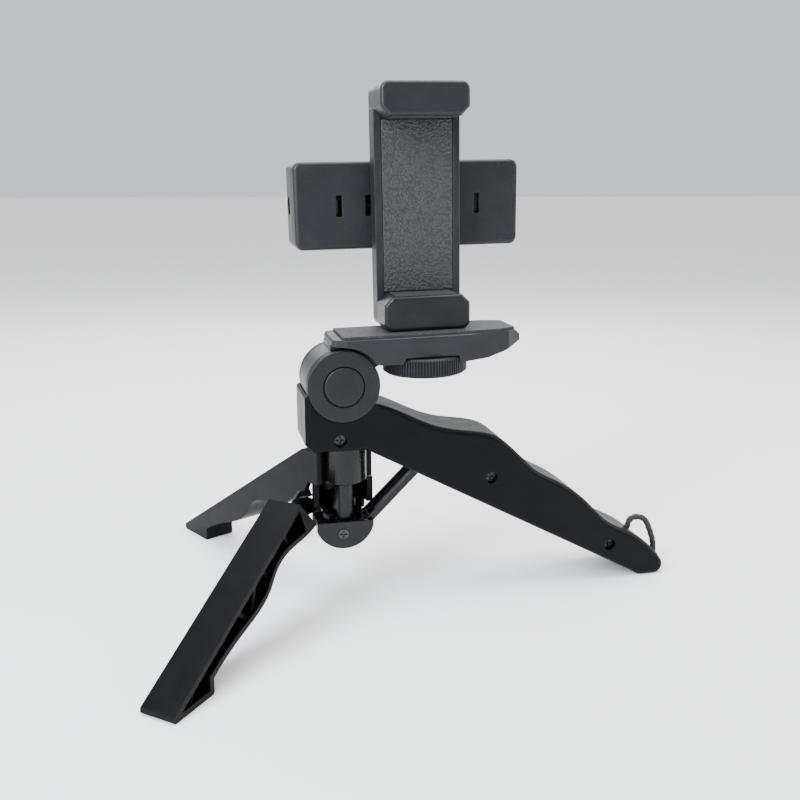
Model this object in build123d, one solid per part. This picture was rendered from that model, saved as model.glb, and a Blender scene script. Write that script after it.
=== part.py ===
from build123d import *
import math
import os

# Folding pistol-grip tripod with a back-to-back pair of phone clamps.
# Millimetres, +Z up, floor at Z = 0. X runs along the grip, the two short legs spread towards -X.
# Every shape is drawn about the column axis, then the whole object is shifted by ORIGIN_SHIFT so
# that the origin is the bottom centre of its bounding box.
ORIGIN_SHIFT = (-26.80, -4.96, 0.0)

# ---- driving dimensions -------------------------------------------------------------------------
GRIP_HALF = 10.6          # half width of the grip across Y
WALL = 2.2                # shell wall of the grip
HEAD_X = -0.97            # tilt axis of the head
HEAD_Z = 76.6
HEAD_TILT = 1.2           # the head leans back by this angle
BARREL_R = 12.05          # hinge barrel
BARREL_HALF = 7.3
CHEEK_Y = (7.6, 9.2)      # cheek plates on both sides of the barrel
CAP_R = 12.0
BUTTON_R = 6.5
AXLE_R = 4.0

SLEEVE_R = 8.18           # fixed sleeve of the column
SLEEVE_Z = (42.3, 63.0)
ROD_R = 4.13              # slim rod below the sleeve
ROD_Z = (21.0, 56.0)
HUB_TOP = 28.7
HUB_HALF = 6.43
HUB_R = 10.2
GRIP_SCREWS = {"top": (-2.3, 58.4), "mid": (50.1, 42.1), "tip": (96.0, 13.1)}
HUB_SCREW = (-1.1, 24.4)

LEG_OUT = 12.0            # web side of a leg, measured from the column axis
LEG_IN = 0.3              # open side of a leg
LEG_WEB = 1.8
NEAR_HEADING = 230.3      # direction of each leg about the column, degrees
FAR_HEADING = 118.6

PLATE_TOP = 91.9
PLATE_HALF = 11.4
SCREW_X = 28.6            # camera screw axis
WHEEL_R = 14.2
WHEEL_Z = (78.2, 84.5)
PAD_TOP = 92.7

CLIP_W = 29.0             # phone clamp: width, half length of the phone face, jaw height, depths
CLIP_BODY = 28.6
BODY_TOP = 32.0           # the side walls run on beside the sliding jaw
JAW_H = 10.6
LIP = 0.9                 # the fixed jaw's front stands this far above the end of the phone face
JAW_CUT = 2.8             # corner cuts and corner rounding of the jaws
JAW_ROUND = 2.6
CLIP_T = 8.3
JAW_DEPTH = 20.7
TONGUE_W = 12.7           # half width and reach of the body's back over the sliding jaw
TONGUE_C = 38.3
SWIVEL_C = 0.9            # swivel hole, off the middle of the clamp
FRONT_BACK_Y = 14.9       # back face of the front clamp
SWIVEL_GAP = 0.5

os.makedirs("parts", exist_ok=True)


# ---- helpers ------------------------------------------------------------------------------------
def prism(face, y0, y1):
    """Extrude a face drawn in (x, z) from y0 to y1."""
    return extrude(Plane.XZ.offset(-y1) * face, amount=y1 - y0)


def outline(points):
    """Face bounded by straight lines through the points."""
    return make_face(Polyline(*points, close=True))


def beside(curve, distance, start, end, count):
    """Points along a curve drawn in the XY plane, moved sideways (to its left) by the distance."""
    points = []
    for i in range(count):
        t = start + (end - start) * i / (count - 1)
        along = curve.tangent_at(t)
        point = curve.position_at(t)
        points.append((point.X - along.Y * distance, point.Y + along.X * distance))
    return points


def tube_z(radius, z0, z1, x=0.0, y=0.0):
    return Pos(x, y, (z0 + z1) / 2) * Cylinder(radius, z1 - z0)


def tube_y(radius, y0, y1, x, z):
    return Pos(x, (y0 + y1) / 2, z) * Rot(90, 0, 0) * Cylinder(radius, y1 - y0)


def block(x0, x1, y0, y1, z0, z1):
    return Pos((x0 + x1) / 2, (y0 + y1) / 2, (z0 + z1) / 2) * Box(x1 - x0, y1 - y0, z1 - z0)


def sector(radius, start, end):
    """Pie-shaped face about the origin between two angles in degrees."""
    steps = 12
    ring = [(0.0, 0.0)]
    for i in range(steps + 1):
        angle = math.radians(start + (end - start) * i / steps)
        ring.append((radius * math.cos(angle), radius * math.sin(angle)))
    return outline(ring)


def arc_shell(inner, outer, start, end, z0, z1):
    """Part of a ring about the column axis."""
    ring = tube_z(outer, z0, z1) - tube_z(inner, z0 - 1, z1 + 1)
    return ring & Pos(0, 0, z0) * extrude(sector(outer * 1.6, start, end), amount=z1 - z0)


def coil(radius, wire, turns, length):
    """Closed coil spring along +Z from the origin."""
    path = Helix(pitch=(length - wire) / turns, height=length - wire, radius=radius)
    section = Plane(origin=path @ 0, z_dir=path % 0) * Circle(wire / 2)
    return Pos(0, 0, wire / 2) * sweep(section, path=path)


def cap_screw(x, z, y_head, y_tip, head_r, shaft_r):
    """Cross-head screw along +Y, its head towards -Y."""
    head = tube_y(head_r, y_head, y_head + 1.6, x, z)
    shaft = tube_y(shaft_r, y_head + 1.0, y_tip, x, z)
    slot = block(x - head_r * 0.7, x + head_r * 0.7, y_head - 1, y_head + 0.7, z - 0.25, z + 0.25)
    cross = block(x - 0.25, x + 0.25, y_head - 1, y_head + 0.7, z - head_r * 0.7, z + head_r * 0.7)
    return head + shaft - slot - cross


def tilt_head(shape):
    """Lean a shape of the head back about the tilt axis."""
    return shape.rotate(Axis((HEAD_X, 0, HEAD_Z), (0, -1, 0)), HEAD_TILT)


def save(name, shape):
    export_step(Pos(*ORIGIN_SHIFT) * shape, "parts/" + name + ".step")
    print(f"{name:24s} {shape.volume:10.1f} mm3")


# ---- grip: two shells, screwed together ---------------------------------------------------------
def grip_ridge():
    """Upper edge of the grip, with the hump for the fingers."""
    return Spline(
        (9.0, 70.6), (20.6, 66.0), (30.2, 61.7), (37.9, 59.8), (45.7, 58.6), (51.1, 57.0),
        (57.0, 52.6), (62.4, 47.3), (67.0, 43.1), (74.6, 38.8), (81.3, 34.6), (86.1, 30.6),
        (91.0, 25.6), (96.7, 20.9), (104.9, 16.6), (112.5, 11.0), (116.6, 6.4),
    )


def grip_face():
    """Side outline of the grip in (x, z)."""
    tip = Spline((116.6, 6.4), (118.0, 3.2), tangents=((0.6, -0.8), (0, -1)))
    toe = ThreePointArc((118.0, 3.2), (117.063, 0.937), (114.8, 0.0))
    under = Polyline((114.8, 0.0), (108.5, 0.0), (104.3, 2.4), (11.0, 52.3), (6.5, 54.75), (-11.4, 54.75),
                     (-13.9, 57.6), (-13.9, 73.4), (-12.6, 74.6), (-0.97, 76.6), (9.0, 70.6))
    return make_face(Curve() + [grip_ridge(), tip, toe, under])


def grip_room():
    """Hollow inside the grip, one wall in from its outline."""
    upper = beside(grip_ridge(), -WALL, 0.06, 0.86, 30)
    slope = (2.4 - 52.3) / (104.3 - 11.0)
    lower = [(x, 52.3 + slope * (x - 11.0) + WALL * 1.13) for x in (upper[-1][0], upper[0][0])]
    return outline(upper + lower)


def grip_shell(side):
    """One half of the grip; side is -1 for the screw-head half and +1 for the other."""
    outer = prism(grip_face(), -GRIP_HALF, -0.05)
    rim = [e for e in outer.edges() if e.bounding_box().max.Y < -GRIP_HALF + 0.01
           and e.center().Z < 72 and (e.center().X > 10 or e.center().Z < 60)]
    outer = fillet(rim, 1.6)
    room = prism(grip_room(), -GRIP_HALF + WALL, 1)
    room -= tube_y(14.4, -20, 20, HEAD_X, HEAD_Z)
    room -= block(-14, 10.6, -20, 20, 40, 70)
    for x, z in GRIP_SCREWS.values():
        room -= tube_y(3.6, -20, 20, x, z)
    room -= tube_y(2.6, -20, 20, *BRACE_PIN_HIGH)
    shell = outer - room
    shell += tube_y(BARREL_R, -CHEEK_Y[1], -CHEEK_Y[0], HEAD_X, HEAD_Z)
    shell -= tube_y(BARREL_R + 0.35, -CHEEK_Y[0], 1, HEAD_X, HEAD_Z)
    shell -= tube_y(CAP_R + 0.1, -GRIP_HALF - 1, -CHEEK_Y[1], HEAD_X, HEAD_Z)
    shell -= tube_z(SLEEVE_R + 0.04, 40, SLEEVE_Z[1] + 0.1)
    # slot for the brace and the bore of its pin
    shell -= brace_slot()
    shell -= tube_y(1.04, -7.0, 1, *BRACE_PIN_HIGH)
    for x, z in GRIP_SCREWS.values():
        if side < 0:
            shell -= tube_y(2.1, -20, -7.0, x, z)
            shell -= tube_y(1.35, -8, 1, x, z)
        else:
            shell -= tube_y(1.3, -8.6, 1, x, z)
    if side < 0:
        shell -= tube_y(BUTTON_R + 0.06, -CHEEK_Y[1] - 1, 0, HEAD_X, HEAD_Z)
        return shell
    shell -= tube_y(AXLE_R + 0.03, -CHEEK_Y[1] - 1, 0, HEAD_X, HEAD_Z)
    return mirror(shell, about=Plane.XZ)


# ---- brace: shallow channel between the hub and the grip ----------------------------------------
BRACE_LOW = (6.6, 26.4)
BRACE_HIGH = (29.4, 49.3)
BRACE_PIN_LOW = (7.3, 26.3)
BRACE_PIN_HIGH = (28.0, 47.6)
BRACE_HALF = 4.6


def brace_frame():
    """Plane at the lower end of the brace, local x up along it and local z along +Y."""
    return Plane(origin=(BRACE_LOW[0], 0, BRACE_LOW[1]),
                 x_dir=(BRACE_HIGH[0] - BRACE_LOW[0], 0, BRACE_HIGH[1] - BRACE_LOW[1]), z_dir=(0, -1, 0))


def brace_length():
    return math.dist(BRACE_LOW, BRACE_HIGH)


def brace_slot():
    return brace_frame() * Pos(brace_length() - 2.5, 0.0, 0) * Box(14.0, 4.4, 2 * BRACE_HALF + 0.6)


def make_brace():
    length = brace_length()
    bar = Pos(length / 2, 0, 0) * Box(length, 2.2, 2 * BRACE_HALF)
    bar -= Pos(length / 2, 1.1, 0) * Box(length - 7.0, 2.6, 2 * BRACE_HALF - 2.0)
    bar = brace_frame() * bar
    bar += tube_y(1.7, -BRACE_HALF, BRACE_HALF, *BRACE_PIN_LOW)
    bar += tube_y(1.9, -BRACE_HALF, BRACE_HALF, *BRACE_PIN_HIGH)
    bar -= tube_y(0.94, -10, 10, *BRACE_PIN_LOW)
    return bar - tube_y(1.04, -10, 10, *BRACE_PIN_HIGH)


# ---- column and hub -----------------------------------------------------------------------------
def make_sleeve():
    sleeve = tube_z(SLEEVE_R, *SLEEVE_Z)
    sleeve = chamfer(sleeve.edges().group_by(Axis.Z)[0], 0.35)
    x, z = GRIP_SCREWS["top"]
    sleeve -= block(x - 2.1, x + 2.1, -20, -6.9, z - 2.1, z + 2.1)
    sleeve -= tube_z(ROD_R + 0.03, 40, ROD_Z[1])
    return sleeve - tube_y(1.5, -20, 20, x, z)


def make_rod():
    rod = tube_z(ROD_R, *ROD_Z)
    x, z = HUB_SCREW
    return rod - tube_y(1.25, -20, 20, x, z)


def make_hub():
    disc = Pos(-0.5, HUB_TOP + 0.7) * Circle(HUB_R)
    plate = disc & Pos(-0.3, HUB_TOP - 10) * Rectangle(19.4, 20)
    core = (Pos(-0.5, HUB_TOP + 0.7) * Circle(HUB_R - 1.2)) & Pos(-2.6, HUB_TOP - 11.2) * Rectangle(15.2, 20)
    hub = prism(core, -5.2, 5.2)
    for y0 in (-HUB_HALF, HUB_HALF - 1.5):
        hub += prism(plate, y0, y0 + 1.5)
    hub -= tube_z(ROD_R + 0.03, ROD_Z[0], 40)
    x, z = HUB_SCREW
    hub -= tube_y(1.25, -20, 5.4, x, z)
    hub -= tube_y(1.95, -20, -HUB_HALF + 1.5, x, z)
    return hub - tube_y(0.94, -5.8, 5.8, *BRACE_PIN_LOW)


# ---- legs: ribbed channels that swing about the column ------------------------------------------
LEG_TOP = ((26.8, 41.5), (90.7, 2.2))


def leg_wave():
    """Wavy underside of a leg, from the foot back to the column."""
    return Spline((73.3, 4.9), (66.5, 8.6), (58.1, 12.1), (48.6, 16.0), (43.8, 19.9), (40.6, 24.2),
                  (36.0, 27.2), (29.5, 28.7), (17.2, 31.4))


def leg_face():
    """Side outline of a leg in (r, z): flat top, wavy underside, foot at the far end."""
    rest = Polyline((17.2, 31.4), LEG_TOP[0], LEG_TOP[1], (90.9, 0.8), (90.1, 0.0), (73.9, 0.0),
                    (73.3, 0.7), (73.3, 4.9))
    return make_face(Curve() + [leg_wave(), rest])


def leg_room():
    """Hollow of a leg, one wall in from its outline."""
    lower = beside(leg_wave(), -LEG_WEB, 0.0, 0.9, 24)
    return outline(lower + [(26.9, 39.3), (85.0, 3.5), (87.5, 1.8), (75.1, 1.8), (75.1, 6.2)])


RIB_NODES = [(30.6, 27.0), (35.8, 37.4), (41.6, 20.5), (48.2, 29.6), (52.6, 13.0), (62.8, 20.6),
             (68.4, 6.0), (77.6, 11.6), (82.6, -1.0)]


def leg_body():
    """Leg along +X with its open side towards +Y."""
    body = prism(leg_face(), -LEG_OUT, -LEG_IN)
    room = prism(leg_room(), -LEG_OUT + LEG_WEB, 2)
    ribs = None
    for (x0, z0), (x1, z1) in zip(RIB_NODES, RIB_NODES[1:]):
        length = math.dist((x0, z0), (x1, z1))
        bar = Plane(origin=((x0 + x1) / 2, -6.6, (z0 + z1) / 2), x_dir=(x1 - x0, 0, z1 - z0),
                    z_dir=(0, -1, 0)) * Box(length + 1.0, 1.3, 9.4)
        ribs = bar if ribs is None else ribs + bar
    return body - (room - ribs)


def near_leg_local():
    """Lower leg: its C-shaped knuckle snaps round the slim rod."""
    web = outline([(30.0, 38.0), (26.8, 41.5), (20.5, 37.4), (14.0, 36.2), (10.9, 36.7), (6.5, 36.0),
                   (3.3, 34.2), (-1.2, 31.3), (-1.2, 29.2), (14.0, 29.2), (19.0, 30.8), (30.0, 29.5)])
    leg = leg_body() + prism(web, -LEG_OUT, -LEG_OUT + LEG_WEB)
    leg += arc_shell(8.6, 10.6, 35 - NEAR_HEADING, 152 - NEAR_HEADING, 29.2, 33.5)
    leg += arc_shell(8.6, 10.6, 5 - NEAR_HEADING, 190 - NEAR_HEADING, 33.0, 41.9)
    for z0, z1 in ((29.2, 31.0), (40.1, 41.9)):
        leg += arc_shell(ROD_R + 0.07, 7.2, 20 - NEAR_HEADING, 218 - NEAR_HEADING, z0, z1)
        leg += arc_shell(7.0, 9.0, 45 - NEAR_HEADING, 125 - NEAR_HEADING, z0, z1)
    return leg


def far_leg_local():
    """Upper leg: its C-shaped knuckle snaps round the sleeve."""
    web = outline([(30.0, 38.0), LEG_TOP[0], (7.0, 53.6), (-1.5, 54.2), (-1.5, 42.6), (3.8, 42.6),
                   (6.0, 38.8), (10.5, 37.6), (14.0, 33.6), (17.2, 31.4), (30.0, 29.5)])
    leg = leg_body() + prism(web, -LEG_OUT, -LEG_OUT + LEG_WEB)
    top = LEG_TOP[0]
    leg += prism(outline([top, (7.0, 53.6), (7.0, 51.8), (26.0, 40.1)]), -LEG_OUT, -LEG_OUT + 4.2)
    leg += arc_shell(SLEEVE_R + 0.07, 10.1, FAR_HEADING - 212, FAR_HEADING - 2, 42.6, 52.0)
    return leg


# ---- head: tilting platform on a barrel hinge ---------------------------------------------------
def plate_plan(inset=0.0):
    """Plan outline of the platform."""
    half = PLATE_HALF - inset
    left = -4.2 + inset
    right = 59.6 - inset
    return outline([(left, -half + 3.2), (left + 1.2, -half + 1.4), (left + 4.5, -half + 0.3),
                    (22.0, -half), (40.0, -half), (55.0, -half + 1.2), (right, -half + 3.4),
                    (right, half - 3.4), (55.0, half - 1.2), (40.0, half), (22.0, half),
                    (left + 4.5, half - 0.3), (left + 1.2, half - 1.4), (left, half - 3.2)])


def pad_plan(gap=0.0):
    """Plan outline of the pad, square at the hinge end."""
    half = PLATE_HALF - 1.6 + gap
    left, right = -0.8 - gap, 58.0 + gap
    return outline([(left, -half), (52.0, -half), (right, -half + 2.6), (right, half - 2.6), (52.0, half),
                    (left, half)])


def make_platform():
    skirt = outline([(-4.2, 89.7), (-4.2, 91.0), (-3.6, PLATE_TOP), (57.8, PLATE_TOP), (59.6, 90.3),
                     (59.6, 88.3), (54.0, 85.4), (47.6, 83.4), (40.1, 82.7), (37.6, 82.5), (36.6, 82.6),
                     (35.0, 84.9), (20.0, 84.9), (18.4, 83.0), (11.0, 83.1), (4.0, 86.0), (-1.0, 89.6)])
    slab = prism(skirt, -PLATE_HALF, PLATE_HALF)
    section = Pos(0, PLATE_TOP - 10.0) * RectangleRounded(2 * PLATE_HALF, 20.0, 1.0)
    slab &= Plane(origin=(-10, 0, 0), x_dir=(0, 1, 0), z_dir=(1, 0, 0)) * extrude(section, amount=80)
    plan = Pos(0, 0, 80) * extrude(plate_plan(), amount=12)
    platform = slab & plan
    room = Pos(0, 0, 80) * extrude(plate_plan(1.8), amount=8.9)
    room -= block(-20, 12.5, -BARREL_HALF, BARREL_HALF, 60, 100)
    platform -= room
    platform -= tube_y(12.9, -20, -BARREL_HALF, HEAD_X, HEAD_Z)
    platform -= tube_y(12.9, BARREL_HALF, 20, HEAD_X, HEAD_Z)
    platform += tube_y(BARREL_R, -BARREL_HALF, BARREL_HALF, HEAD_X, HEAD_Z)
    platform += prism(outline([(-4.6, 85.0), (-4.6, 90.0), (12.5, 90.0), (12.5, 83.2), (9.0, 81.0)]),
                      -BARREL_HALF, BARREL_HALF)
    platform -= tube_y(AXLE_R + 0.06, -3, 20, HEAD_X, HEAD_Z)
    platform -= tube_y(BUTTON_R + 0.06, -20, -2.0, HEAD_X, HEAD_Z)
    platform -= tube_z(WHEEL_R + 0.35, 60, 84.9, x=SCREW_X)
    platform -= tube_z(3.4, 80, 100, x=SCREW_X)
    # shallow tray for the pad
    return platform - Pos(0, 0, PLATE_TOP - 0.3) * extrude(pad_plan(0.15), amount=2)


def make_platform_pad():
    pad = Pos(0, 0, PLATE_TOP - 0.3) * extrude(pad_plan(), amount=PAD_TOP - PLATE_TOP + 0.3)
    return pad - tube_z(4.2, 80, 100, x=SCREW_X)


def make_thumbwheel():
    teeth = 92
    rim = []
    for i in range(teeth):
        for radius, shift in ((WHEEL_R, -0.22), (WHEEL_R, 0.12), (WHEEL_R - 0.45, 0.3), (WHEEL_R - 0.45, 0.6)):
            angle = 2 * math.pi * (i + shift) / teeth
            rim.append((radius * math.cos(angle), radius * math.sin(angle)))
    wheel = Pos(0, 0, WHEEL_Z[0]) * extrude(outline(rim), amount=WHEEL_Z[1] - WHEEL_Z[0])
    z0, z1 = WHEEL_Z
    turned = make_face(Polyline((0, z0), (WHEEL_R - 0.9, z0), (WHEEL_R, z0 + 0.7), (WHEEL_R, z1 - 0.7),
                                (WHEEL_R - 0.9, z1), (0, z1), close=True))
    wheel &= revolve(Plane.XZ * turned, axis=Axis.Z)
    wheel += tube_z(5.6, z1 - 0.5, 88.0)
    wheel -= tube_z(10.2, z0 - 1, z0 + 0.8) - tube_z(5.4, z0 - 2, z0 + 2)
    wheel -= tube_z(3.1, z0 - 1, 100)
    return Pos(SCREW_X, 0, 0) * wheel


def make_camera_screw():
    screw = tube_z(3.1, WHEEL_Z[0] + 0.3, 98.6, x=SCREW_X)
    screw = chamfer(screw.edges().group_by(Axis.Z)[-1], 0.6)
    return screw


# ---- phone clamp, drawn upright: width along X, phone side towards -Y, sliding jaw up -----------
def jaw_front(z0, z1, flip):
    """Front block of a jaw: corners cut on the phone side and rounded on the other."""
    half = CLIP_W / 2
    inner, outer = (z1, z0) if flip else (z0, z1)
    step = JAW_CUT if outer > inner else -JAW_CUT
    face = outline([(-half + JAW_CUT, inner), (-half, inner + step), (-half, outer),
                    (half, outer), (half, inner + step), (half - JAW_CUT, inner)])
    front = prism(face, -JAW_DEPTH, -CLIP_T - 0.03)
    front = fillet([e for e in front.edges().filter_by(Axis.Y) if abs(e.center().Z - outer) < 0.1], JAW_ROUND)
    rim = [e for e in front.edges() if e.bounding_box().max.Y < -JAW_DEPTH + 0.01]
    return fillet(rim, 1.2)


def clip_body():
    """Shell of the clamp, with the fixed jaw's end wall in one piece with it."""
    half = CLIP_W / 2
    low = -CLIP_BODY - JAW_H
    body = block(-half, half, -CLIP_T, 0, low, BODY_TOP)
    body = fillet([e for e in body.edges().filter_by(Axis.Y) if e.center().Z < low + 0.1], JAW_ROUND)
    back = [e for e in body.edges() if e.bounding_box().min.Y > -0.01 and e.center().Z < BODY_TOP - 0.1]
    body = fillet(back, 1.4)
    # the back runs on over the sliding jaw
    tongue = block(-TONGUE_W, TONGUE_W, -1.6, 0, BODY_TOP - 0.5, TONGUE_C)
    body += fillet([e for e in tongue.edges().filter_by(Axis.Y) if e.center().Z > BODY_TOP], 1.8)
    body -= block(-11.9, 11.9, -6.9, -1.6, -26.4, BODY_TOP + 1)
    body -= block(-12.2, 12.2, -20, -7.8, -CLIP_BODY + 0.2, BODY_TOP + 1)
    for c in (-24.0, -14.0, 14.0, 24.0):
        body -= block(-3.5, 3.5, -1.7, 1, c - 1.0, c + 1.0)
    body -= tube_y(3.06, -3, 1, 0, SWIVEL_C)
    # post that anchors the lower end of the spring
    return body + block(-2.2, 2.2, -7.0, -1.5, -26.5, -24.2) - block(-3.5, 3.5, -1.7, 1, -25.0, -23.0)


def clip_lower_jaw():
    z0 = -CLIP_BODY - JAW_H
    jaw = jaw_front(z0, -CLIP_BODY + LIP, True)
    jaw -= tube_z(3.4, z0 - 1, z0 + 0.6, y=-FRONT_BACK_Y)
    jaw -= tube_z(4.25, z0 + 0.5, z0 + 9.0, y=-FRONT_BACK_Y)
    return jaw - block(-10.6, 10.6, -JAW_DEPTH + 1.4, -CLIP_T - 0.7, -CLIP_BODY + LIP - 0.7, 0)


def clip_upper_jaw():
    half = CLIP_W / 2
    z0 = CLIP_BODY + 0.1
    z1 = CLIP_BODY + JAW_H
    rear = block(-half, half, -CLIP_T - 0.1, 0, BODY_TOP + 0.1, z1)
    rear = fillet([e for e in rear.edges().filter_by(Axis.Y) if e.center().Z > z1 - 0.1], JAW_ROUND)
    back = [e for e in rear.edges() if e.bounding_box().min.Y > -0.01 and e.center().Z > BODY_TOP + 0.3]
    jaw = jaw_front(z0, z1, False) + fillet(back, 1.4)
    jaw -= block(-10.6, 10.6, -JAW_DEPTH + 1.4, -CLIP_T - 0.7, z0 - 1, z0 + 0.6)
    room = block(-TONGUE_W - 0.15, TONGUE_W + 0.15, -1.75, 1, z0 - 1, TONGUE_C + 0.15)
    jaw -= fillet([e for e in room.edges().filter_by(Axis.Y) if e.center().Z > z0], 1.8)
    # fork that slides inside the body
    for side in (-1, 1):
        jaw += block(*sorted((side * 5.2, side * 11.5)), -6.5, -2.0, -20.0, BODY_TOP + 0.5)
    return jaw + block(-11.5, 11.5, -6.5, -2.0, 22.6, BODY_TOP + 0.5)


def clip_parts(prefix):
    """All pieces of one clamp about its own middle."""
    parts = {"body": clip_body(), "lower_jaw": clip_lower_jaw(), "upper_jaw": clip_upper_jaw()}
    # the face pad starts clear of the fixed jaw, so that a phone lies flat on it
    parts["pad"] = block(-11.9, 11.9, -8.35, -7.8, -CLIP_BODY + LIP + 0.4, CLIP_BODY - 0.4)
    low = -CLIP_BODY + LIP - 0.7
    parts["lower_jaw_pad"] = block(-10.4, 10.4, -JAW_DEPTH + 1.6, -CLIP_T - 0.9, low, low + 0.9)
    high = CLIP_BODY + 0.7
    parts["upper_jaw_pad"] = block(-10.4, 10.4, -JAW_DEPTH + 1.6, -CLIP_T - 0.9, high - 0.9, high)
    z0 = -CLIP_BODY - JAW_H
    nut = tube_z(4.2, z0 + 0.6, z0 + 8.8, y=-FRONT_BACK_Y) - tube_z(3.18, z0 - 1, z0 + 20, y=-FRONT_BACK_Y)
    parts["nut"] = nut
    parts["spring"] = Pos(0, -4.9, -24.0) * coil(1.15, 0.5, 14, 46.0)
    return {prefix + "_" + name: shape for name, shape in parts.items()}


# ---- strap loop in the seam plane of the grip tip -----------------------------------------------
CORD_R = 1.2
CORD_ROUTE = [(105.1, 0, 6.4), (106.3, 0, 10.6), (107.8, 0, 14.9), (109.2, 0, 19.0), (115.0, 0, 18.3),
              (117.6, 0, 12.6), (119.4, 0, 7.6), (119.4, 0, 3.5)]
CHANNEL_R = 1.6
ANCHOR_R = 1.4


def make_cord():
    """Tube of straight runs joined by tangent arcs."""
    points = [Vector(*p) for p in CORD_ROUTE]
    radii = []
    for a, b, c in zip(points, points[1:], points[2:]):
        turn = (b - a).get_angle(c - b)
        radii.append(0.45 * min((b - a).length, (c - b).length) / math.tan(math.radians(turn) / 2))
    line = FilletPolyline(*points, radius=radii)
    cord = sweep(Plane(origin=line @ 0, z_dir=line % 0) * Circle(CORD_R), path=line)
    print("cord arc radii", [round(r, 2) for r in radii], "length", round(line.length, 2))
    print("cord section times length", round(math.pi * CORD_R**2 * line.length, 1), "volume", round(cord.volume, 1))
    return cord


def cord_channel():
    """Straight hole in the grip tip for the hidden end of the strap and its anchor."""
    run = (Vector(*CORD_ROUTE[2]) - Vector(*CORD_ROUTE[0])).normalized()
    start = Vector(*CORD_ROUTE[0]) - run * 2.6
    end = Vector(*CORD_ROUTE[2]) + run * 1.0
    return Plane(origin=(start + end) / 2, z_dir=run) * Cylinder(CHANNEL_R, (end - start).length)


def strap_anchor():
    """Peg that holds the hidden end of the strap."""
    start = Vector(*CORD_ROUTE[0])
    run = (Vector(*CORD_ROUTE[1]) - start).normalized()
    length = 2.4
    return Plane(origin=start - run * (length / 2), z_dir=run) * Cylinder(ANCHOR_R, length)


def strap_lug():
    """Small lug on the end of the grip that the outer end of the strap meets."""
    x, _, z = CORD_ROUTE[-1]
    lug = block(x - 4.4, x + 1.5, -1.9, 1.9, 0.9, z)
    return fillet([e for e in lug.edges().filter_by(Axis.Z) if e.center().X > x], 1.2)


# ---- build everything ---------------------------------------------------------------------------
parts = {}
parts["grip_shell_near"] = grip_shell(-1)
parts["grip_shell_far"] = grip_shell(1)
for name, (x, z) in GRIP_SCREWS.items():
    parts["grip_screw_" + name] = cap_screw(x, z, -8.6, 7.6, 1.95, 1.25)
parts["column_sleeve"] = make_sleeve()
parts["column_rod"] = make_rod()
parts["hub"] = make_hub()
parts["hub_screw"] = cap_screw(*HUB_SCREW, -HUB_HALF - 0.2, 5.3, 1.85, 1.2)
parts["brace"] = make_brace()
parts["brace_pin_low"] = tube_y(0.9, -5.7, 5.7, *BRACE_PIN_LOW)
parts["brace_pin_high"] = tube_y(1.0, -6.9, 6.9, *BRACE_PIN_HIGH)

cap = tube_y(CAP_R, -GRIP_HALF, -CHEEK_Y[1], HEAD_X, HEAD_Z)
cap = fillet(cap.edges().group_by(Axis.Y)[0], 0.5)
parts["hinge_cap_near"] = cap - tube_y(BUTTON_R + 0.3, -20, 0, HEAD_X, HEAD_Z)
parts["hinge_cap_far"] = mirror(cap - tube_y(2.3, -20, -9.55, HEAD_X, HEAD_Z)
                                - tube_y(1.3, -20, 0, HEAD_X, HEAD_Z), about=Plane.XZ)
axle = tube_y(AXLE_R, -1.7, CHEEK_Y[1], HEAD_X, HEAD_Z)
parts["hinge_axle"] = axle - tube_y(1.0, 2.0, 20, HEAD_X, HEAD_Z)
parts["axle_screw"] = mirror(cap_screw(HEAD_X, HEAD_Z, -11.2, -2.4, 2.1, 0.95), about=Plane.XZ)
button = tube_y(BUTTON_R, -11.2, -4.2, HEAD_X, HEAD_Z)
button = fillet(button.edges().group_by(Axis.Y)[0], 0.6)
parts["lock_button"] = button - tube_y(5.1, -9.0, 0, HEAD_X, HEAD_Z)
spring = Pos(HEAD_X, -7.2, HEAD_Z) * Rot(-90, 0, 0) * coil(3.9, 0.7, 4, 5.1)
parts["lock_spring"] = spring

parts["near_leg"] = near_leg_local().rotate(Axis.Z, NEAR_HEADING)
parts["far_leg"] = mirror(far_leg_local(), about=Plane.XZ).rotate(Axis.Z, FAR_HEADING)

parts["head_platform"] = tilt_head(make_platform())
parts["platform_pad"] = tilt_head(make_platform_pad())
parts["thumbwheel"] = tilt_head(make_thumbwheel())
parts["camera_screw"] = tilt_head(make_camera_screw())
parts["screw_washer"] = tilt_head(tube_z(6.2, 88.1, 88.8, x=SCREW_X) - tube_z(3.3, 80, 100, x=SCREW_X))

front_mid = PAD_TOP + 0.05 + CLIP_BODY + JAW_H
for name, shape in clip_parts("front_clip").items():
    parts[name] = tilt_head(Pos(SCREW_X, FRONT_BACK_Y, front_mid) * shape)
swivel_z = front_mid + SWIVEL_C
turn_over = Plane(origin=(SCREW_X - SWIVEL_C, FRONT_BACK_Y + SWIVEL_GAP, swivel_z), x_dir=(0, 0, 1), z_dir=(1, 0, 0))
for name, shape in clip_parts("rear_clip").items():
    parts[name] = tilt_head(turn_over * shape)
stud = tube_y(3.0, FRONT_BACK_Y - 1.8, FRONT_BACK_Y + SWIVEL_GAP + 1.8, SCREW_X, swivel_z)
stud += tube_y(4.6, FRONT_BACK_Y - 2.6, FRONT_BACK_Y - 1.65, SCREW_X, swivel_z)
stud += tube_y(4.6, FRONT_BACK_Y + SWIVEL_GAP + 1.65, FRONT_BACK_Y + SWIVEL_GAP + 2.6, SCREW_X, swivel_z)
parts["swivel_stud"] = tilt_head(stud)
washer = tube_y(8.0, FRONT_BACK_Y + 0.05, FRONT_BACK_Y + SWIVEL_GAP - 0.05, SCREW_X, swivel_z)
parts["swivel_washer"] = tilt_head(washer - tube_y(3.1, 0, 40, SCREW_X, swivel_z))

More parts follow.
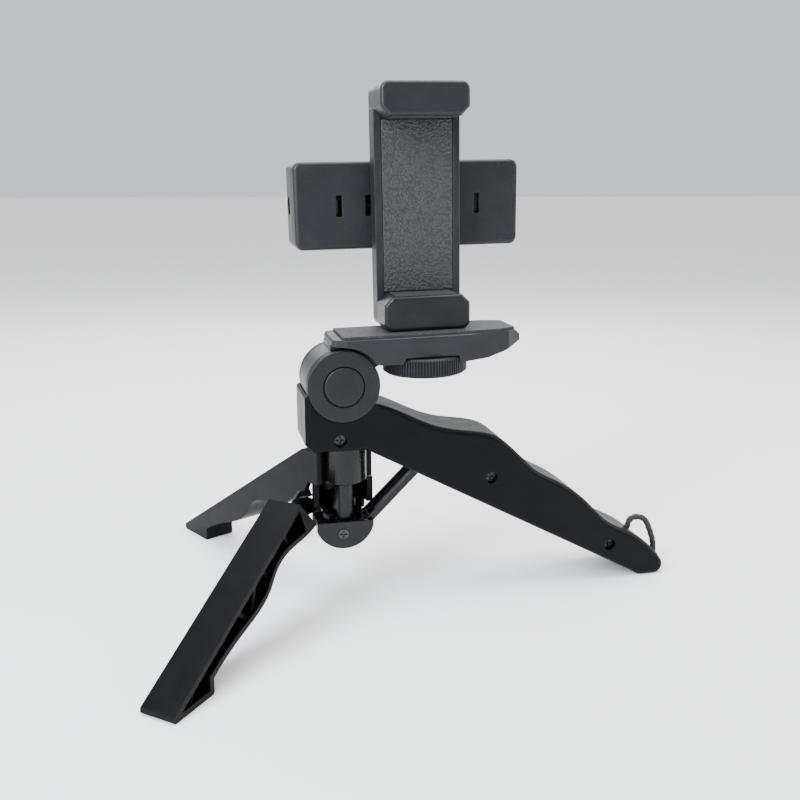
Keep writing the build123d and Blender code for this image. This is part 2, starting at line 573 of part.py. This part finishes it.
parts["strap_cord"] = make_cord()
parts["strap_anchor"] = strap_anchor()
parts["strap_lug"] = strap_lug()
for name in ("grip_shell_near", "grip_shell_far"):
    parts[name] = parts[name] - cord_channel() - parts["strap_lug"]

for name, shape in parts.items():
    save(name, shape)
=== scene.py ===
"""Phone holder mini tripod: materials, strap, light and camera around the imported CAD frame."""
import math

import bpy
from mathutils import Matrix, Vector


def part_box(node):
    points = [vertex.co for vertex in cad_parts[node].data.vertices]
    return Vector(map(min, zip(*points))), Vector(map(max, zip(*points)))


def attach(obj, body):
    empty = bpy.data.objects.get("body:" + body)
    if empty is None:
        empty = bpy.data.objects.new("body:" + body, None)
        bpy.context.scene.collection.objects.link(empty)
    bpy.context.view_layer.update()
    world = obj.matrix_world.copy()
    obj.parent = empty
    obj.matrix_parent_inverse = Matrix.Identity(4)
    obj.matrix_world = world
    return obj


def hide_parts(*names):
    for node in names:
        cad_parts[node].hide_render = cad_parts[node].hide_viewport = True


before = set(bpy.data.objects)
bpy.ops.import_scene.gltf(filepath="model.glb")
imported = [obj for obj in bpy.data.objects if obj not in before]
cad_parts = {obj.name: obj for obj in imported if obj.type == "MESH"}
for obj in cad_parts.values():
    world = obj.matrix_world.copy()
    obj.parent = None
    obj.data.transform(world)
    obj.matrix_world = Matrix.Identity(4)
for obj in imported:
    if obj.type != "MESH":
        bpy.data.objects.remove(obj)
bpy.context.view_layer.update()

MM = 0.001
# the CAD script draws everything about the column axis, then shifts it by this much
ORIGIN_SHIFT = Vector((-26.80, -4.96, 0.0))


def from_column(x, y, z):
    """A point given in millimetres about the column axis, in the row frame in metres."""
    return (Vector((x, y, z)) + ORIGIN_SHIFT) * MM


# ---- camera -------------------------------------------------------------------------------------
CAMERA_AZIMUTH = math.radians(13.38)
CAMERA_ELEVATION = math.radians(13.82)
CAMERA_ROLL = math.radians(0.21)
CAMERA_DISTANCE = 0.31043
CAMERA_SENSOR = 36.0      # millimetres, as is the lens
CAMERA_LENS = 41.02
CAMERA_TARGET = from_column(20.01, 0.0, 68.77)


def make_camera():
    data = bpy.data.cameras.new("camera")
    data.sensor_width = CAMERA_SENSOR
    data.lens = CAMERA_LENS
    data.clip_start = 0.01
    camera = bpy.data.objects.new("camera", data)
    bpy.context.scene.collection.objects.link(camera)
    level = math.cos(CAMERA_ELEVATION)
    forward = Vector((math.sin(CAMERA_AZIMUTH) * level, math.cos(CAMERA_AZIMUTH) * level,
                      -math.sin(CAMERA_ELEVATION)))
    right = Vector((math.cos(CAMERA_AZIMUTH), -math.sin(CAMERA_AZIMUTH), 0.0))
    up = right.cross(forward)
    turned_right = right * math.cos(CAMERA_ROLL) + up * math.sin(CAMERA_ROLL)
    turned_up = up * math.cos(CAMERA_ROLL) - right * math.sin(CAMERA_ROLL)
    turn = Matrix((turned_right, turned_up, -forward)).transposed().to_4x4()
    camera.matrix_world = Matrix.Translation(CAMERA_TARGET - forward * CAMERA_DISTANCE) @ turn
    bpy.context.scene.camera = camera


# ---- strap loop at the tip of the grip ----------------------------------------------------------
STRAP_ROUTE = [(105.1, 0, 6.4), (106.3, 0, 10.6), (107.8, 0, 14.9), (109.2, 0, 19.0), (115.0, 0, 18.3),
               (117.6, 0, 12.6), (119.4, 0, 7.6), (119.4, 0, 3.5)]
STRAND_RADIUS = 0.33 * MM
BRAID_RADIUS = 0.79 * MM
BRAID_WAVE = 0.08 * MM
BRAID_TURN = 5.2 * MM     # length along the strap in which a strand goes once round
BRAID_STRANDS = 8         # half of them wind each way
CORE_SIDES = 12
STRAND_SIDES = 7


def link(name, data):
    piece = bpy.data.objects.new(name, data)
    bpy.context.scene.collection.objects.link(piece)
    return piece


def strap_line():
    """Points along the strap's smooth line, the distance of each from its start, and its tangents."""
    curve = bpy.data.curves.new("strap_line", "CURVE")
    curve.dimensions = "3D"
    curve.resolution_u = 20
    spline = curve.splines.new("NURBS")
    spline.points.add(len(STRAP_ROUTE) - 1)
    for point, place in zip(spline.points, STRAP_ROUTE):
        point.co = (*from_column(*place), 1.0)
    spline.order_u = 3
    spline.use_endpoint_u = True
    guide = link("strap_line", curve)
    bpy.context.view_layer.update()
    mesh = bpy.data.meshes.new_from_object(guide)
    points = [v.co.copy() for v in mesh.vertices]
    bpy.data.objects.remove(guide)
    bpy.data.meshes.remove(mesh)
    along = [0.0]
    for a, b in zip(points, points[1:]):
        along.append(along[-1] + (b - a).length)
    tangents = []
    for i in range(len(points)):
        before, after = points[max(i - 1, 0)], points[min(i + 1, len(points) - 1)]
        tangents.append((after - before).normalized())
    return points, along, tangents


def add_tube(verts, faces, centres, radius, sides):
    """A closed tube through the centres."""
    first = len(verts)
    side = Vector((0, 1, 0))
    for i, centre in enumerate(centres):
        before, after = centres[max(i - 1, 0)], centres[min(i + 1, len(centres) - 1)]
        tangent = (after - before).normalized()
        side = (side - tangent * side.dot(tangent)).normalized()
        other = tangent.cross(side)
        for k in range(sides):
            angle = 2 * math.pi * k / sides
            verts.append(centre + (side * math.cos(angle) + other * math.sin(angle)) * radius)
    for i in range(len(centres) - 1):
        ring = first + i * sides
        for k in range(sides):
            after = (k + 1) % sides
            faces.append((ring + k, ring + after, ring + sides + after, ring + sides + k))
    last = first + (len(centres) - 1) * sides
    faces.append(tuple(first + k for k in reversed(range(sides))))
    faces.append(tuple(last + k for k in range(sides)))


def make_strap():
    """Braided cord: a core with strands woven round it."""
    points, along, tangents = strap_line()
    verts, faces = [], []
    add_tube(verts, faces, points, BRAID_RADIUS, CORE_SIDES)
    across = Vector((0, 1, 0))
    one_way = BRAID_STRANDS // 2
    for strand in range(BRAID_STRANDS):
        way = 1 if strand < one_way else -1
        start = math.pi / 2 * (strand % one_way) + (math.pi / 4 if way < 0 else 0)
        centres = []
        for point, distance, tangent in zip(points, along, tangents):
            turned = 2 * math.pi * distance / BRAID_TURN
            angle = start + way * turned
            weave = way * math.cos(one_way * turned + math.pi * strand) * BRAID_WAVE
            out = across * math.cos(angle) + tangent.cross(across) * math.sin(angle)
            centres.append(point + out * (BRAID_RADIUS + weave))
        add_tube(verts, faces, centres, STRAND_RADIUS, STRAND_SIDES)
    mesh = bpy.data.meshes.new("strap_braid")
    mesh.from_pydata(verts, [], faces)
    mesh.polygons.foreach_set("use_smooth", [len(p.vertices) == 4 for p in mesh.polygons])
    strap = link("strap_braid", mesh)
    mesh.materials.append(strap_material())
    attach(strap, "grip")
    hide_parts("strap_cord")


# ---- materials ----------------------------------------------------------------------------------
class Graph:
    """A material's nodes, built with one short call each."""

    def __init__(self, name):
        self.material = bpy.data.materials.new(name)
        self.material.use_nodes = True
        self.tree = self.material.node_tree
        self.shader = self.tree.nodes["Principled BSDF"]
        self.place = self.add("ShaderNodeTexCoord").outputs["Object"]

    def add(self, kind, **settings):
        node = self.tree.nodes.new(kind)
        for key, value in settings.items():
            setattr(node, key, value)
        return node

    def join(self, source, target):
        if isinstance(source, bpy.types.NodeSocket):
            self.tree.links.new(source, target)
        else:
            target.default_value = source

    def stretched(self, x, y, z):
        node = self.add("ShaderNodeMapping")
        self.join(self.place, node.inputs["Vector"])
        node.inputs["Scale"].default_value = (x, y, z)
        return node.outputs["Vector"]

    def noise(self, size, detail=2.0, rough=0.5, vector=None):
        """Cloudy noise whose lumps are about the size given, in millimetres."""
        node = self.add("ShaderNodeTexNoise")
        self.join(vector or self.place, node.inputs["Vector"])
        node.inputs["Scale"].default_value = 1.0 / (size * MM)
        node.inputs["Detail"].default_value = detail
        node.inputs["Roughness"].default_value = rough
        return node.outputs["Fac"]

    def cells(self, size, feature="F1", smooth=None):
        """Cell pattern of about the size given, in millimetres."""
        node = self.add("ShaderNodeTexVoronoi", feature=feature)
        self.join(self.place, node.inputs["Vector"])
        node.inputs["Scale"].default_value = 1.0 / (size * MM)
        if smooth is not None:
            node.inputs["Smoothness"].default_value = smooth
        return node.outputs["Distance"]

    def remap(self, value, low, high, to_low, to_high):
        node = self.add("ShaderNodeMapRange")
        for socket, number in zip(node.inputs, (value, low, high, to_low, to_high)):
            self.join(number, socket)
        return node.outputs["Result"]

    def math(self, operation, a, b=0.0):
        node = self.add("ShaderNodeMath", operation=operation)
        self.join(a, node.inputs[0])
        self.join(b, node.inputs[1])
        return node.outputs["Value"]

    def mix(self, factor, a, b):
        """Colour a where the factor is 0 and colour b where it is 1."""
        node = self.add("ShaderNodeMix", data_type="RGBA")
        self.join(factor, node.inputs["Factor"])
        self.join(a if isinstance(a, bpy.types.NodeSocket) else (*a, 1.0), node.inputs["A"])
        self.join(b if isinstance(b, bpy.types.NodeSocket) else (*b, 1.0), node.inputs["B"])
        return node.outputs["Result"]

    def edges(self, radius):
        """(softened normal, mask that is 1 on sharp edges) for a rounding radius in millimetres."""
        bevel = self.add("ShaderNodeBevel", samples=6)
        bevel.inputs["Radius"].default_value = radius * MM
        plain = self.add("ShaderNodeNewGeometry").outputs["Normal"]
        dot = self.add("ShaderNodeVectorMath", operation="DOT_PRODUCT")
        self.join(bevel.outputs["Normal"], dot.inputs[0])
        self.join(plain, dot.inputs[1])
        return bevel.outputs["Normal"], self.remap(dot.outputs["Value"], 0.995, 0.80, 0.0, 1.0)

    def bump(self, height, depth, normal, strength=1.0):
        """Relief whose full height is the depth given, in millimetres."""
        node = self.add("ShaderNodeBump")
        self.join(height, node.inputs["Height"])
        self.join(normal, node.inputs["Normal"])
        node.inputs["Distance"].default_value = depth * MM
        node.inputs["Strength"].default_value = strength
        return node.outputs["Normal"]


def plastic(name, colour, rough, grain, grain_depth, edge, gloss_level=0.22, waves=None):
    """Moulded black plastic: cloudy tone, uneven gloss, fine spark-eroded grain, and paler edges that are
    partly real wear and partly a painted edge highlight.

    The grain's size and depth and the edge rounding are in millimetres.
    """
    g = Graph(name)
    normal, rim = g.edges(edge)
    cloud = g.noise(9.0, 3.0)
    fine = g.noise(grain, 3.0, 0.6)
    pale = tuple(c * 1.35 for c in colour)
    tone = g.mix(g.remap(cloud, 0.3, 0.7, 0.0, 1.0), tuple(c * 0.85 for c in colour), pale)
    scuffs = g.remap(g.noise(1.4, 5.0, 0.7, g.stretched(0.35, 0.35, 1.0)), 0.58, 0.75, 0.0, 1.0)
    # patchy edge mask: partly real edge wear, partly painted edge highlight
    wear_and_edge_highlight = g.math("MULTIPLY", rim, g.remap(g.noise(2.5, 4.0), 0.35, 0.65, 0.25, 1.0))
    tone = g.mix(g.math("MULTIPLY", scuffs, 0.10), tone, tuple(c * 2.4 for c in colour))
    # edges mixed towards six times the colour: painted edge highlight as well as wear
    tone = g.mix(g.math("MULTIPLY", wear_and_edge_highlight, 0.55), tone, tuple(c * 6 for c in colour))
    g.join(tone, g.shader.inputs["Base Color"])
    patchy = g.remap(g.noise(5.0, 4.0, 0.6), 0.3, 0.7, rough - 0.05, rough + 0.06)
    gloss = g.math("ADD", patchy, g.math("MULTIPLY", fine, 0.06))
    g.join(g.math("SUBTRACT", gloss, g.math("MULTIPLY", rim, 0.05)), g.shader.inputs["Roughness"])
    if waves:
        normal = g.bump(waves(g), 0.02, normal, 0.5)
    normal = g.bump(fine, grain_depth, normal)
    g.join(normal, g.shader.inputs["Normal"])
    g.shader.inputs["Specular IOR Level"].default_value = gloss_level
    return g.material


TURNING_PITCH = 0.55 * MM


def turned_rings(centre):
    """Faint turning rings about an axis along Y through the centre."""
    def height(g):
        offset = g.add("ShaderNodeVectorMath", operation="SUBTRACT")
        g.join(g.place, offset.inputs[0])
        offset.inputs[1].default_value = centre
        flat = g.add("ShaderNodeVectorMath", operation="MULTIPLY")
        g.join(offset.outputs["Vector"], flat.inputs[0])
        flat.inputs[1].default_value = (1, 0, 1)
        length = g.add("ShaderNodeVectorMath", operation="LENGTH")
        g.join(flat.outputs["Vector"], length.inputs[0])
        return g.math("SINE", g.math("MULTIPLY", length.outputs["Value"], 2 * math.pi / TURNING_PITCH))
    return height


def pebbled(name, colour, size, depth, rough, speckle=0.0):
    """Rubber sheet with rounded pebbles, duller valleys, painted shade that darkens the valleys and a painted
    highlight that pales the pebble tops.
    """
    g = Graph(name)
    normal, rim = g.edges(0.3)
    pebble = g.cells(size, "SMOOTH_F1", 0.35)
    top = g.remap(pebble, 0.1, 0.75, 1.0, 0.0)
    cloud = g.noise(7.0, 3.0)
    # pebble tops paler and valleys darker: painted highlight on the tops, painted shade in the valleys
    tone = g.mix(top, tuple(c * 0.55 for c in colour), tuple(c * 1.35 for c in colour))
    tone = g.mix(g.remap(cloud, 0.35, 0.65, 0.0, 0.35), tone, tuple(c * 0.8 for c in colour))
    if speckle:
        dots = g.remap(g.noise(0.5, 2.0, 0.6), 0.60, 0.68, 0.0, speckle)
        tone = g.mix(dots, tone, tuple(c * 5 for c in colour))
    # paler edges of the rubber: painted edge highlight
    tone = g.mix(g.math("MULTIPLY", rim, 0.4), tone, tuple(c * 2.2 for c in colour))
    g.join(tone, g.shader.inputs["Base Color"])
    g.join(g.remap(top, 0.0, 1.0, rough + 0.15, rough), g.shader.inputs["Roughness"])
    normal = g.bump(top, depth, normal)
    g.join(g.bump(g.noise(0.2, 2.0), 0.01, normal), g.shader.inputs["Normal"])
    g.shader.inputs["Specular IOR Level"].default_value = 0.35
    return g.material


def metal(name, colour, rough, brushed=(1.0, 1.0, 8.0)):
    """Metal with fine directional scratches, dull patches and a painted highlight along its edges."""
    g = Graph(name)
    normal, rim = g.edges(0.15)
    scratches = g.noise(0.8, 4.0, 0.7, g.stretched(*brushed))
    patches = g.noise(3.0, 3.0)
    tone = g.mix(g.remap(patches, 0.35, 0.7, 0.0, 1.0), colour, tuple(c * 0.6 for c in colour))
    # paler edges: painted edge highlight
    g.join(g.mix(g.math("MULTIPLY", rim, 0.5), tone, tuple(min(c * 1.3, 0.95) for c in colour)),
           g.shader.inputs["Base Color"])
    g.shader.inputs["Metallic"].default_value = 1.0
    g.join(g.remap(scratches, 0.3, 0.7, rough - 0.08, rough + 0.1), g.shader.inputs["Roughness"])
    g.join(g.bump(scratches, 0.006, normal), g.shader.inputs["Normal"])
    return g.material


def strap_material():
    """Braided polyester: fine filaments along each strand, with a soft sheen."""
    g = Graph("strap_polyester")
    fibre = g.noise(0.12, 3.0, 0.7, g.stretched(1.0, 1.0, 0.4))
    tone = g.mix(g.remap(fibre, 0.3, 0.7, 0.0, 1.0), (0.002, 0.002, 0.0024), (0.011, 0.0112, 0.0125))
    g.join(tone, g.shader.inputs["Base Color"])
    g.join(g.remap(fibre, 0.3, 0.7, 0.55, 0.8), g.shader.inputs["Roughness"])
    g.join(g.bump(fibre, 0.03, g.add("ShaderNodeNewGeometry").outputs["Normal"]), g.shader.inputs["Normal"])
    g.shader.inputs["Sheen Weight"].default_value = 0.08
    g.shader.inputs["Sheen Roughness"].default_value = 0.4
    return g.material


BLACK = (0.0052, 0.0056, 0.0068)      # base colours of the three tones of plastic
DEEP_BLACK = (0.0012, 0.0013, 0.0014)
SLATE_BLACK = (0.0068, 0.0074, 0.0089)


def node_centre(name):
    low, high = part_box(name)
    return tuple((a + b) / 2 for a, b in zip(low, high))


def paint():
    """Give every CAD node its finished material."""
    disc = plastic("turned_cap_plastic", BLACK, 0.36, grain=0.3, grain_depth=0.010, edge=0.5,
                   waves=turned_rings(node_centre("hinge_cap_near")))
    grip = plastic("grip_plastic", DEEP_BLACK, 0.36, grain=0.35, grain_depth=0.016, edge=0.5, gloss_level=0.09)
    column = plastic("column_plastic", DEEP_BLACK, 0.24, grain=0.5, grain_depth=0.006, edge=0.3,
                     gloss_level=0.26)
    leg = plastic("leg_plastic", DEEP_BLACK, 0.36, grain=0.4, grain_depth=0.012, edge=0.35, gloss_level=0.08)
    head = plastic("head_plastic", SLATE_BLACK, 0.36, grain=0.45, grain_depth=0.075, edge=0.35,
                   gloss_level=0.28)
    clamp = plastic("clamp_plastic", SLATE_BLACK, 0.38, grain=0.45, grain_depth=0.085, edge=0.45,
                    gloss_level=0.26)
    wheel = plastic("wheel_plastic", BLACK, 0.36, grain=0.35, grain_depth=0.014, edge=0.3)
    jaw = plastic("jaw_plastic", BLACK, 0.28, grain=0.45, grain_depth=0.030, edge=0.45)
    pad = pebbled("clamp_pad_rubber", (0.021, 0.0215, 0.023), 0.75, 0.22, 0.44)
    jaw_pad = pebbled("jaw_pad_rubber", (0.022, 0.022, 0.024), 0.6, 0.10, 0.55)
    platform = pebbled("platform_pad_rubber", (0.020, 0.021, 0.024), 0.45, 0.10, 0.55, 0.6)
    zinc = metal("zinc_steel", (0.42, 0.43, 0.45), 0.34)
    black_steel = metal("blackened_steel", (0.06, 0.062, 0.07), 0.38)
    brass = metal("dulled_brass", (0.10, 0.085, 0.055), 0.42)
    finishes = {
        "grip_shell_near": grip, "grip_shell_far": grip, "strap_anchor": grip, "strap_lug": grip,
        "hinge_cap_near": disc, "hinge_cap_far": disc, "lock_button": disc,
        "column_sleeve": column, "column_rod": column, "hub": column, "brace": column,
        "near_leg": leg, "far_leg": leg, "head_platform": head, "thumbwheel": wheel,
        "platform_pad": platform, "hub_screw": black_steel, "brace_pin_low": zinc, "brace_pin_high": zinc,
        "hinge_axle": zinc, "lock_spring": zinc, "camera_screw": zinc, "screw_washer": zinc,
        "swivel_stud": zinc, "swivel_washer": zinc, "grip_screw_top": black_steel,
        "grip_screw_mid": black_steel, "grip_screw_tip": black_steel, "axle_screw": black_steel,
        "strap_cord": grip,
    }
    for side in ("front_clip", "rear_clip"):
        finishes |= {
            side + "_body": clamp, side + "_upper_jaw": clamp, side + "_lower_jaw": jaw,
            side + "_pad": pad, side + "_lower_jaw_pad": jaw_pad, side + "_upper_jaw_pad": jaw_pad,
            side + "_nut": brass, side + "_spring": black_steel,
        }
    for name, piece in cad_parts.items():
        for place in piece.material_slots:
            place.material = finishes[name]


# ---- studio -------------------------------------------------------------------------------------
FLOOR_REACH = 6.0         # metres from the middle to each side
LIGHT_AIM = (0.0, 0.0, 0.09)
CLAMP_AIM = (0.0, 0.0, 0.13)


def soft_light(name, place, aim, size, power, colour=(1.0, 1.0, 1.0)):
    data = bpy.data.lights.new(name, "AREA")
    data.shape = "RECTANGLE"
    data.size, data.size_y = size
    data.energy = power
    data.color = colour
    lamp = link(name, data)
    lamp.location = place
    lamp.rotation_euler = (Vector(aim) - Vector(place)).to_track_quat("-Z", "Y").to_euler()


def even_light(strength):
    """A wide overhead light that reaches the floor evenly, out to the horizon."""
    data = bpy.data.lights.new("overhead", "SUN")
    data.energy = strength
    data.angle = math.radians(50)
    link("overhead", data)


def make_studio():
    mesh = bpy.data.meshes.new("floor")
    corners = [(-FLOOR_REACH, -FLOOR_REACH, 0), (FLOOR_REACH, -FLOOR_REACH, 0),
               (FLOOR_REACH, FLOOR_REACH, 0), (-FLOOR_REACH, FLOOR_REACH, 0)]
    mesh.from_pydata(corners, [], [(0, 1, 2, 3)])
    floor = link("floor", mesh)
    pale = bpy.data.materials.new("pale_floor")
    pale.use_nodes = True
    shader = pale.node_tree.nodes["Principled BSDF"]
    shader.inputs["Base Color"].default_value = (0.72, 0.72, 0.72, 1)
    shader.inputs["Roughness"].default_value = 0.6
    mesh.materials.append(pale)
    world = bpy.data.worlds.new("studio")
    world.use_nodes = True
    background = world.node_tree.nodes["Background"]
    background.inputs["Color"].default_value = (0.95, 0.97, 1.0, 1)
    background.inputs["Strength"].default_value = 0.90
    bpy.context.scene.world = world
    even_light(2.0)
    soft_light("top_softbox", (0.05, 0.10, 0.75), LIGHT_AIM, (0.8, 0.5), 8.0)
    soft_light("left_softbox", (-0.50, -0.34, 0.44), CLAMP_AIM, (0.30, 0.5), 15.0, (0.86, 0.93, 1.0))
    soft_light("right_strip", (0.65, -0.15, 0.30), LIGHT_AIM, (0.15, 0.6), 4.0)
    soft_light("back_strip", (0.10, 0.60, 0.40), LIGHT_AIM, (0.8, 0.3), 3.0)


make_camera()
make_strap()
paint()
make_studio()
